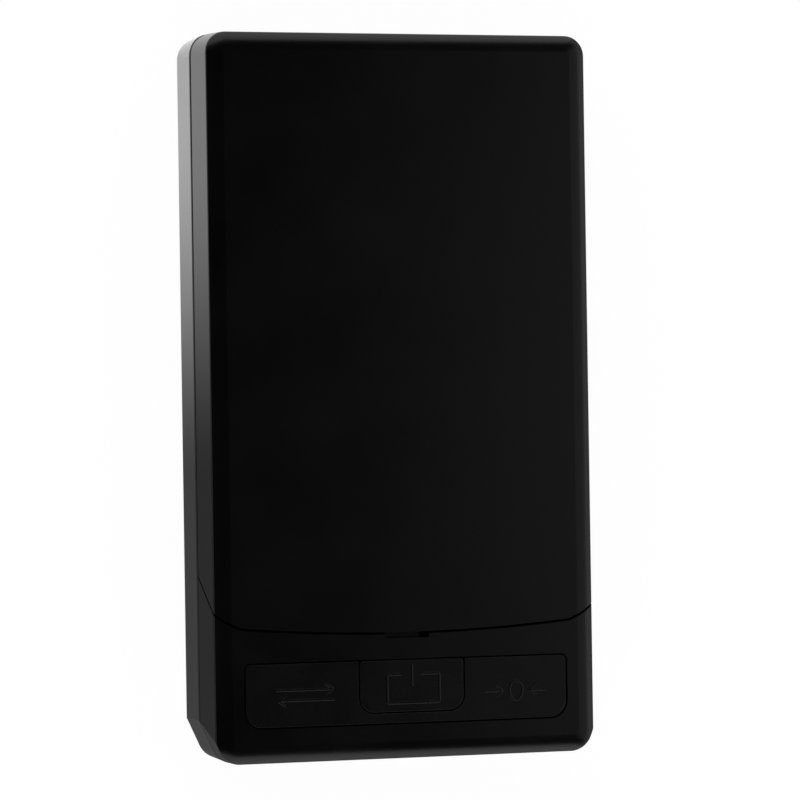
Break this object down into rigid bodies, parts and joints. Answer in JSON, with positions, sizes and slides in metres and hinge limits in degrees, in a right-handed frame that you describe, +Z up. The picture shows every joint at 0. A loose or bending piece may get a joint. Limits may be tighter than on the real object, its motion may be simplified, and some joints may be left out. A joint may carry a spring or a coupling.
{
  "type": "digital gram scale",
  "caption": "Pocket digital gram scale: hinged lid over a steel weighing tray and display, keypad nose, sliding battery door, rubber feet.",
  "frame": {"origin": "on the resting plane under the middle of the case", "axes": "+X right, +Y from the keys to the hinge, +Z up out of the top face"},
  "size_m": [0.07, 0.127, 0.021],
  "materials": {
    "case_plastic": "moulded satin ABS",
    "lid_plastic": "moulded satin ABS",
    "key_plastic": "moulded satin ABS",
    "pin_steel": "ground steel",
    "screw_steel": "zinc plated steel",
    "tray_steel": "brushed stainless steel",
    "cell_aluminium": "milled aluminium",
    "carrier_plastic": "moulded ABS",
    "silicone": "moulded silicone",
    "circuit_board": "solder mask",
    "chip_epoxy": "epoxy",
    "window_acrylic": "polished acrylic",
    "display_glass": "float glass",
    "light_guide": "frosted acrylic",
    "contact_rubber": "moulded silicone",
    "ribbon_film": "laminated film",
    "gauge_film": "sealant over foil",
    "battery_sleeve": "printed film over steel",
    "contact_plate": "nickel plated steel",
    "foot_rubber": "moulded rubber"
  },
  "bodies": {
    "case": {"base_case": "case_plastic", "top_case": "case_plastic", "power_dome": "silicone", "mode_dome": "silicone", "tare_dome": "silicone", "main_board": "circuit_board", "controller_chip": "chip_epoxy", "board_screws": "screw_steel", "display_window": "window_acrylic", "display_glass": "display_glass", "backlight": "light_guide", "zebra_strips": "contact_rubber", "display_board": "circuit_board", "ribbon_cable": "ribbon_film", "load_cell": "cell_aluminium", "strain_gauges": "gauge_film", "load_cell_screws": "screw_steel", "battery_cells": "battery_sleeve", "battery_contacts": "contact_plate", "case_screws": "screw_steel", "rubber_feet": "foot_rubber"},
    "cover": {"lid": "lid_plastic", "hinge_pins": "pin_steel"},
    "power_button": {"power_key": "key_plastic"},
    "side_buttons": {"side_keys": "key_plastic"},
    "platform": {"weighing_tray": "tray_steel", "tray_carrier": "carrier_plastic", "carrier_screws": "screw_steel"},
    "door": {"battery_door": "case_plastic"}
  },
  "joints": [
    {"name": "lid_hinge", "type": "hinge", "parent": "case", "child": "cover", "pos_m": [0, 0.0605, 0.0147], "axis": [-1, 0, 0], "range_deg": [0, 110]},
    {"name": "power_press", "type": "slide", "parent": "case", "child": "power_button", "axis": [0, 0, -1], "range_m": [0, 0.0004], "stiffness_N_per_m": 60, "springref_m": -0.0005, "deforming": ["power_dome"]},
    {"name": "side_rock", "type": "hinge", "parent": "case", "child": "side_buttons", "pos_m": [0, -0.0559, 0.0181], "axis": [0, 1, 0], "range_deg": [-1.2, 1.2], "stiffness_Nm_per_rad": 0.03, "deforming": ["mode_dome", "tare_dome"]},
    {"name": "tray_sink", "type": "slide", "parent": "case", "child": "platform", "axis": [0, 0, -1], "range_m": [0, 0.0004], "stiffness_N_per_m": 3000, "springref_m": -0.0002, "deforming": ["load_cell", "strain_gauges"]},
    {"name": "door_slide", "type": "slide", "parent": "case", "child": "door", "axis": [0, -1, 0], "range_m": [0, 0.022]}
  ]
}
